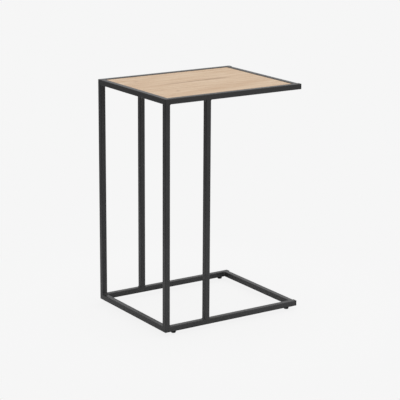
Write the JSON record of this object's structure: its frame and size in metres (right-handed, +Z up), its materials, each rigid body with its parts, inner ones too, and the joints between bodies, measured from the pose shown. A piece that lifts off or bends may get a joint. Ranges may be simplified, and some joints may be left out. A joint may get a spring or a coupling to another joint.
{
  "type": "sofa table",
  "caption": "C-shaped sofa table: welded square-tube frame, wood-effect panel inset in the top frame, and levelling feet under the long base rails.",
  "frame": {"origin": "on the floor, under the middle of the table's outline", "axes": "+X from the closed end to the open end, +Y from the front side frame to the rear one, +Z up"},
  "size_m": [0.43, 0.345, 0.63],
  "materials": {
    "frame_steel": "fine-textured black powder coat",
    "plug_plastic": "moulded black",
    "pad_plastic": "moulded black",
    "zinc_steel": "zinc plated",
    "oak_foil": "matt oak-effect foil, grain along X",
    "particle_board": "raw",
    "backing_sheet": "matt"
  },
  "bodies": {
    "frame": {"front_upper_rail": "frame_steel", "front_lower_rail": "frame_steel", "front_corner_post": "frame_steel", "front_inner_post": "frame_steel", "rear_upper_rail": "frame_steel", "rear_lower_rail": "frame_steel", "rear_corner_post": "frame_steel", "rear_inner_post": "frame_steel", "closed_end_top_rail": "frame_steel", "open_end_top_rail": "frame_steel", "closed_end_base_rail": "frame_steel", "open_end_base_rail": "frame_steel", "front_side_welds": "frame_steel", "rear_side_welds": "frame_steel", "top_cross_welds": "frame_steel", "base_cross_welds": "frame_steel", "front_upper_plug": "plug_plastic", "front_lower_plug": "plug_plastic", "rear_upper_plug": "plug_plastic", "rear_lower_plug": "plug_plastic", "tab_front_closed": "frame_steel", "tab_front_open": "frame_steel", "tab_rear_closed": "frame_steel", "tab_rear_open": "frame_steel", "tab_closed_end": "frame_steel", "tab_open_end": "frame_steel", "panel_core": "particle_board", "panel_top_sheet": "oak_foil", "panel_under_sheet": "backing_sheet", "panel_edge_front": "oak_foil", "panel_edge_rear": "oak_foil", "panel_edge_closed": "oak_foil", "panel_edge_open": "oak_foil", "panel_screws": "zinc_steel", "nut_front_closed": "zinc_steel", "nut_front_open": "zinc_steel", "nut_rear_closed": "zinc_steel", "nut_rear_open": "zinc_steel"},
    "foot_front_closed": {"pad_front_closed": "pad_plastic", "stud_front_closed": "zinc_steel"},
    "foot_front_open": {"pad_front_open": "pad_plastic", "stud_front_open": "zinc_steel"},
    "foot_rear_closed": {"pad_rear_closed": "pad_plastic", "stud_rear_closed": "zinc_steel"},
    "foot_rear_open": {"pad_rear_open": "pad_plastic", "stud_rear_open": "zinc_steel"}
  },
  "joints": [
    {"name": "foot_front_closed_screw", "type": "slide", "parent": "frame", "child": "foot_front_closed", "axis": [0, 0, -1], "range_m": [0, 0.005]},
    {"name": "foot_front_open_screw", "type": "slide", "parent": "frame", "child": "foot_front_open", "axis": [0, 0, -1], "range_m": [0, 0.005]},
    {"name": "foot_rear_closed_screw", "type": "slide", "parent": "frame", "child": "foot_rear_closed", "axis": [0, 0, -1], "range_m": [0, 0.005]},
    {"name": "foot_rear_open_screw", "type": "slide", "parent": "frame", "child": "foot_rear_open", "axis": [0, 0, -1], "range_m": [0, 0.005]}
  ]
}
